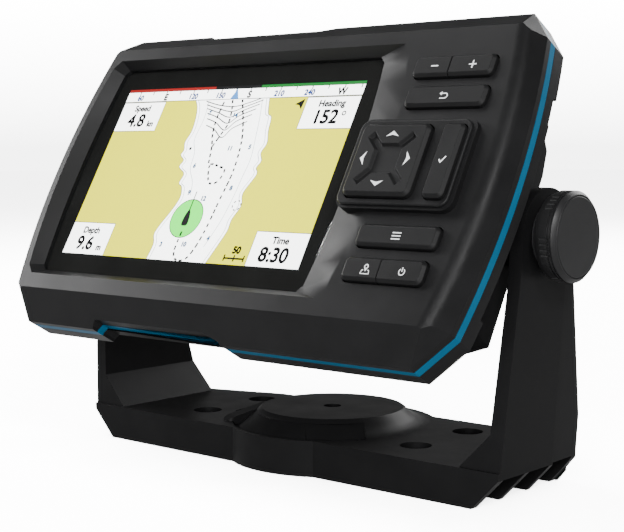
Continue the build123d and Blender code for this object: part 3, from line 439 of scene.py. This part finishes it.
def make_chart():
    """Water, land, shore lines, depth contours, tracks and the boat."""
    water = picture_layer("water", WHITE, 0)
    water.box(-HALF_SW, -HALF_SH, HALF_SW, CHART_TOP)
    water.make("head", "display")

    left, right = smooth(LEFT_SHORE), smooth(RIGHT_SHORE)
    land = picture_layer("land", LAND_YELLOW, 1)
    land.area([(-HALF_SW, -HALF_SH), (-HALF_SW, CHART_TOP), *left])
    land.area([(HALF_SW, -HALF_SH), *reversed(right), (HALF_SW, CHART_TOP)])
    land.make("head", "display")

    shallow = picture_layer("shallows", SHALLOW_BLUE, 1.5)
    for offset, shore in ((1.2, left), (-1.2, right)):
        shallow.line([(p[0] + offset, p[1]) for p in shore], 0.25)
    for points in SHALLOWS:
        shallow.line(smooth(points), 0.22)
    shallow.make("head", "display")

    shore_line = picture_layer("shore_line", SHORE_GREY, 1.8)
    shore_line.line(left, 0.26)
    shore_line.line(right, 0.26)
    shore_line.make("head", "display")

    grey = picture_layer("contours", CONTOUR_GREY, 2)
    for k, (top, dip) in enumerate(CONTOURS):
        spread = 12.6 - 0.9 * k
        grey.line(smooth([(-spread - 0.6, top + 0.2), (-spread * 0.5, top - 1.5), (0.8, dip),
                          (spread * 0.5, top - 1.1), (spread + 1.5, top + 1.4)]), 0.42)
    grey.make("head", "display")

    safe = picture_layer("harbour", HARBOUR_GREEN, 2.5)
    safe.disc(HARBOUR_X, HARBOUR_Y, HARBOUR_RADIUS, 48)
    safe.make("head", "display")

    track = picture_layer("tracks", TRACK_DARK, 3)
    track.line(smooth(MAIN_TRACK, 14), TRACK_WIDTH, DASH, GAP)
    for points in SIDE_TRACKS:
        track.line(smooth(points, 14), TRACK_WIDTH, DASH, GAP)
    track.line(smooth(LOOP_TRACK, 12, closed=True), TRACK_WIDTH, DASH, GAP)
    track.arc(HARBOUR_X, HARBOUR_Y, HARBOUR_RADIUS, 0.3, steps=64)
    for k in range(0, 12, 2):                   # a dashed ring on the right shore
        track.arc(19.3, -12, 1.7, 0.45, 30 * k, 30, 4)
    track.area(NORTH_ARROW)
    track.disc(-11.7, 8.5, 0.6, 12)             # a buoy
    track.line([(SCALE_LEFT, SCALE_Y), (SCALE_RIGHT, SCALE_Y)], 0.65)
    for x in (22.5, 26.65, 30.8):
        track.line([(x, -31.2), (x, -29.0)], 0.6)
    track.text("50", 26.7, -27.4, 2.3, 0.4)
    track.make("head", "display")

    boat = picture_layer("boat", BOAT_DARK, 4)
    boat.area(smooth(BOAT, 4, True))
    boat.line([(-0.6, -14.2), (-0.6, -7.5)], 0.45)
    boat.make("head", "display")

    depths = picture_layer("depths", DEPTH_BLUE, 3.5)
    for words, x, y in SOUNDINGS:
        depths.text(words, x, y, 1.6, 0.32)
    depths.make("head", "display")


BAR_LEFT, BAR_RIGHT = -11, 10           # the middle part of the bar over the compass tape
BOXES = [(-54, 15.5, -33, 27), (32.3, 15.5, 54, 27), (-54, -32.4, -33, -20.5), (32.3, -32.4, 54, -20.5)]
LABELS = [("Speed", "4.8", "kn", -43.5, 15.5), ("Heading", "152", "", 43.2, 15.5),
          ("Depth", "9.6", "m", -43.5, -32.4), ("Time", "8:30", "", 43.2, -32.4)]
SOUTH_X, TICK_STEP, TICK_LENGTH, TICK_LIMIT, TAPE_MID = 5.8, 6.7, 1.2, 53, 28.8
COMPASS_LETTERS = (("E", -34), ("S", SOUTH_X), ("W", 45.5))
BEARINGS = (("60", -47), ("120", -20.5), ("150", -7.5), ("210", 19), ("240", 32))


def make_instruments():
    """Bar over the compass tape, the tape and the four data boxes over the chart."""
    for name, left, right, colour in (("port_bar", -HALF_SW, BAR_LEFT, PORT_RED),
                                      ("centre_bar", BAR_LEFT, BAR_RIGHT, CENTRE_BLACK),
                                      ("starboard_bar", BAR_RIGHT, HALF_SW, STARBOARD_GREEN)):
        bar = picture_layer(name, colour, 4.5)
        bar.box(left, TAPE_TOP, right, HALF_SH)
        bar.make("head", "display")

    panel = picture_layer("panels", WHITE, 5)
    panel.box(-HALF_SW, CHART_TOP, HALF_SW, TAPE_TOP)
    for box in BOXES:
        panel.box(*box)
    panel.make("head", "display")

    frame_lines = picture_layer("frame_lines", FRAME_GREY, 5.5)
    frame_lines.line([(-HALF_SW, CHART_TOP), (HALF_SW, CHART_TOP)], 0.3)
    for left, bottom, right, top in BOXES:
        frame_lines.line([(left, bottom), (left, top), (right, top), (right, bottom), (left, bottom)], 0.25)
    frame_lines.make("head", "display")

    ink = picture_layer("ink", INK, 6)
    for k in range(-8, 9):
        x = SOUTH_X + TICK_STEP * k
        if abs(x) < TICK_LIMIT:
            ink.line([(x, TAPE_TOP - TICK_LENGTH), (x, TAPE_TOP)], 0.45)
    for words, x in COMPASS_LETTERS:
        ink.text(words, x, TAPE_MID, 2.4, 0.36)
    for title, value, unit, x, bottom in LABELS:
        ink.text(title, x, bottom + 9.0, 2.3, 0.3)
        ink.text(value, x - 0.9, bottom + 4.0, 4.8, 0.45)
        if unit:
            ink.text(unit, x + 6.8, bottom + 2.8, 2.2, 0.35)
    ink.arc(49.4, 20.9, 0.65, 0.45, steps=16)   # the degree sign after the heading
    ink.make("head", "display")

    blue = picture_layer("bearings", BEARING_BLUE, 6)
    for words, x in BEARINGS:
        blue.text(words, x, TAPE_MID, 2.0, 0.32)
    blue.make("head", "display")

    pointer = picture_layer("heading_pointer", POINTER_BLUE, 6.5)
    pointer.area([(-2.4, 27.4), (1.4, 27.4), (-0.5, 31.2)])
    pointer.make("head", "display")


def make_glass_print():
    """Black print behind the glass, round the lit area."""
    mask = Art("glass_print", PRINT, PRINT_Z)
    left, right = SCREEN_X + PICTURE_DX - HALF_SW, SCREEN_X + PICTURE_DX + HALF_SW
    bottom, top = SCREEN_Y + PICTURE_DY - HALF_SH, SCREEN_Y + PICTURE_DY + HALF_SH
    steps = 24

    def edge_x(y, side):
        """x of the bowed side of the glass at height y."""
        t = (y - GLASS_BOTTOM) / (GLASS_TOP - GLASS_BOTTOM)
        return (GLASS_RIGHT if side > 0 else GLASS_LEFT) + side * 4 * GLASS_BOW * t * (1 - t)

    for side, inner in ((-1, left), (1, right)):
        for k in range(steps):
            low, high = (GLASS_BOTTOM + (GLASS_TOP - GLASS_BOTTOM) * s / steps for s in (k, k + 1))
            mask.area([(inner, low), (edge_x(low, side), low), (edge_x(high, side), high), (inner, high)])
    mask.box(left, top, right, GLASS_TOP)
    mask.box(left, GLASS_BOTTOM, right, bottom)
    mask.make("head", "display")


make_chart()
make_instruments()
make_glass_print()


# ---------------------------------------------------------------- legends on the keys
KEY_TOP, PAD_TOP, ENTER_TOP = 5.8, 9.0, 8.8
INK_RISE = 0.02


def key_middle(node):
    """Middle of a key in the head's frame, in millimetres."""
    offset = (middle(node) - FACE_ORIGIN) / MM
    return offset.x, offset.dot(UP_FACE)


def legend(node, top, aside=0.0):
    """Empty artwork on a key's top, that many millimetres to the right of its middle."""
    x, y = key_middle(node)
    return Art(node + "_legend", LEGEND, top + INK_RISE, (x + aside, y))


def make_legends():
    """Signs printed on the keys, and the arrows on the pad."""
    minus = legend("zoom_out_key", KEY_TOP, 1.9)
    minus.box(-1.25, -0.2, 1.25, 0.2)
    minus.make("zoom_out_key", "key_rubber")

    plus = legend("zoom_in_key", KEY_TOP)
    plus.box(-1.25, -0.2, 1.25, 0.2)
    plus.box(-0.2, 0.2, 0.2, 1.25)
    plus.box(-0.2, -1.25, 0.2, -0.2)
    plus.make("zoom_in_key", "key_rubber")

    back = legend("back_key", KEY_TOP)
    back.arc(0.4, -0.1, 0.8, 0.32, -90, 180, 14)
    back.box(-0.8, 0.54, 0.4, 0.86)
    back.box(-1.3, -1.06, 0.4, -0.74)
    back.area([(-1.7, 0.7), (-0.8, 1.35), (-0.8, 0.05)])
    back.make("back_key", "key_rubber")

    bars = legend("menu_key", KEY_TOP, 0.35)
    for y in (-0.95, 0, 0.95):
        bars.box(-1.5, y - 0.17, 1.5, y + 0.17)
    bars.make("menu_key", "key_rubber")

    pin = legend("mark_key", KEY_TOP, 2.7)
    pin.arc(0, 0.8, 0.6, 0.32, 0, 360, 20)
    pin.area([(-0.6, 0.45), (0, -0.75), (0.6, 0.45), (0.25, 0.25), (-0.25, 0.25)])
    pin.line([(-0.7, -0.3), (-1.2, -0.3), (-1.5, -1.4), (1.5, -1.4), (1.2, -0.3), (0.7, -0.3)], 0.24)
    pin.make("mark_key", "key_rubber")

    power = legend("power_key", KEY_TOP)
    power.arc(0, -0.1, 0.95, 0.3, 125, 290, 28)
    power.box(-0.15, -0.05, 0.15, 1.25)
    power.make("power_key", "key_rubber")

    check = legend("enter_key", ENTER_TOP)
    check.area([(-1.15, -0.1), (-0.85, 0.25), (-0.3, -0.5), (0.9, 1.15), (1.2, 0.9), (-0.25, -1.1)])
    check.make("enter_key", "key_rubber")

    arrows = legend("direction_pad", PAD_TOP)
    for k in range(4):
        turn = Matrix.Rotation(math.radians(90 * k), 2)
        arrows.area([turn @ Vector(p) for p in ((0, 8.9), (-2.3, 7.1), (0, 7.6), (2.3, 7.1))])
    arrows.make("direction_pad", "key_rubber")


make_legends()


# ---------------------------------------------------------------- softened edges
SOFT_EDGES = {      # width in millimetres
    "front_bezel": 0.6, "rear_housing": 0.5, "bracket": 0.7, "accent_band": 0.12, "direction_pad": 0.3,
    "zoom_out_key": 0.25, "zoom_in_key": 0.25, "back_key": 0.25, "menu_key": 0.25, "mark_key": 0.25,
    "power_key": 0.25, "enter_key": 0.25, "power_socket": 0.3, "transducer_socket": 0.3,
    "knob_grip_left": 0.15, "knob_grip_right": 0.15,
}
for node, width in SOFT_EDGES.items():
    soften(node, width)


# ---------------------------------------------------------------- floor, light and camera
def seen_or_cast(tree, cast, seen, rays="Is Camera Ray"):
    """A value that is seen by one kind of ray, the camera's own if not named, and cast to all the others."""
    mix = tree.nodes.new("ShaderNodeMix")
    tree.links.new(tree.nodes.new("ShaderNodeLightPath").outputs[rays], mix.inputs[0])
    for socket, value in ((mix.inputs[2], cast), (mix.inputs[3], seen)):
        if isinstance(value, bpy.types.NodeSocket):
            tree.links.new(value, socket)
        else:
            socket.default_value = value
    return mix.outputs[0]


FLOOR_RADIUS, FLOOR_DROP = 6.0, 0.0001
FLOOR_CLOUD = 160.0                     # millimetres
AIM = Vector((0, 0, 0.07))              # what the lights point at


def make_floor(cast_glow, cast_gain, seen_glow, seen_gain):
    """Large pale floor with a barely visible mottle, overexposed to the camera like a white studio sweep."""
    mat, tree, shader, where = new_material("pale_floor")
    cloud = ramp(tree, noise(tree, where, FLOOR_CLOUD), 0.0, 1.0, 0.78, 0.82)
    bright = tree.nodes.new("ShaderNodeMath")
    bright.operation = "MULTIPLY"
    tree.links.new(cloud, bright.inputs[0])
    tree.links.new(seen_or_cast(tree, cast_gain, seen_gain), bright.inputs[1])
    tree.links.new(bright.outputs[0], shader.inputs["Base Color"])
    tree.links.new(seen_or_cast(tree, cast_glow, seen_glow), shader.inputs["Emission Strength"])
    shader.inputs["Emission Color"].default_value = (1, 1, 1, 1)
    shader.inputs["Roughness"].default_value = 0.8
    shader.inputs["Specular IOR Level"].default_value = 0.0
    mesh = bpy.data.meshes.new("floor")
    bm = bmesh.new()
    bmesh.ops.create_circle(bm, cap_ends=True, segments=96, radius=FLOOR_RADIUS)
    bm.to_mesh(mesh)
    bm.free()
    mesh.materials.append(mat)
    floor = bpy.data.objects.new("floor", mesh)
    bpy.context.scene.collection.objects.link(floor)
    floor.location.z = cad_low.z - FLOOR_DROP


def add_softbox(name, direction, distance, width, height, power):
    """A rectangular area light, seen from the object in that direction, pointing at it."""
    light = bpy.data.lights.new(name, "AREA")
    light.shape, light.size, light.size_y, light.energy = "RECTANGLE", width, height, power
    holder = bpy.data.objects.new(name, light)
    holder.location = AIM + Vector(direction).normalized() * distance
    holder.rotation_euler = (AIM - holder.location).to_track_quat("-Z", "Y").to_euler()
    bpy.context.scene.collection.objects.link(holder)


MIRROR_RISE, SEEN_RISE = (0.15, 0.5), (0.0, 0.12)   # heights on the unit sphere round the object


def make_world(cast, mirrored_low, mirrored_high, seen_low, seen_high):
    """Dim even surroundings, mirrored as a band near the horizon; the camera sees white, brighter upwards."""
    world = bpy.data.worlds.new("studio")
    world.use_nodes = True
    tree = world.node_tree
    split = tree.nodes.new("ShaderNodeSeparateXYZ")
    tree.links.new(tree.nodes.new("ShaderNodeTexCoord").outputs["Generated"], split.inputs[0])
    rise = ramp(tree, split.outputs["Z"], *SEEN_RISE, seen_low, seen_high)
    mirrored = ramp(tree, split.outputs["Z"], *MIRROR_RISE, mirrored_low, mirrored_high)
    unseen = seen_or_cast(tree, cast, mirrored, "Is Glossy Ray")
    tree.links.new(seen_or_cast(tree, unseen, rise), tree.nodes["Background"].inputs["Strength"])
    tree.nodes["Background"].inputs["Color"].default_value = (1, 1, 1, 1)
    bpy.context.scene.world = world


AZIMUTH, ELEVATION, ROLL = math.radians(41.0), math.radians(4.85), math.radians(-0.12)
CAMERA_PLACE = Vector((0.3015, -0.3572, 0.1034))
SENSOR, FOCAL_WIDTHS = 36.0, 2.2465     # sensor's width in millimetres; focal length in widths of the frame


def make_camera():
    """Camera at the asked viewing angle."""
    back = Vector((math.sin(AZIMUTH) * math.cos(ELEVATION), -math.cos(AZIMUTH) * math.cos(ELEVATION),
                   math.sin(ELEVATION)))
    right = Vector((math.cos(AZIMUTH), math.sin(AZIMUTH), 0))
    turn = Matrix((right, back.cross(right), back)).transposed()
    camera = bpy.data.cameras.new("camera")
    camera.sensor_width, camera.lens = SENSOR, FOCAL_WIDTHS * SENSOR
    camera.clip_start, camera.clip_end = 0.01, 30
    holder = bpy.data.objects.new("camera", camera)
    holder.matrix_world = Matrix.Translation(CAMERA_PLACE) @ (turn @ Matrix.Rotation(ROLL, 3, "Z")).to_4x4()
    bpy.context.scene.collection.objects.link(holder)
    bpy.context.scene.camera = holder


SOFTBOXES = {       # direction from the object, distance, width and height in metres, watts
    "key_light": ((-0.93, -0.22, 0.38), 1.2, 0.32, 0.32, 16),
    "top_light": ((-0.5, -0.05, 0.85), 1.2, 0.45, 0.45, 9),
    "front_light": ((0.45, -0.85, 0.25), 1.2, 0.8, 0.6, 28),
    "right_light": ((0.7, -0.44, 0.56), 1.2, 0.25, 0.25, 13),
    "back_light": ((0.05, 0.9, 0.5), 1.3, 0.8, 0.6, 15),
}

make_floor(cast_glow=0.3, cast_gain=0.35, seen_glow=4.0, seen_gain=5.0)
make_world(cast=0.35, mirrored_low=0.4, mirrored_high=0.05, seen_low=5.8, seen_high=18.0)
for name, settings in SOFTBOXES.items():
    add_softbox(name, *settings)
make_camera()
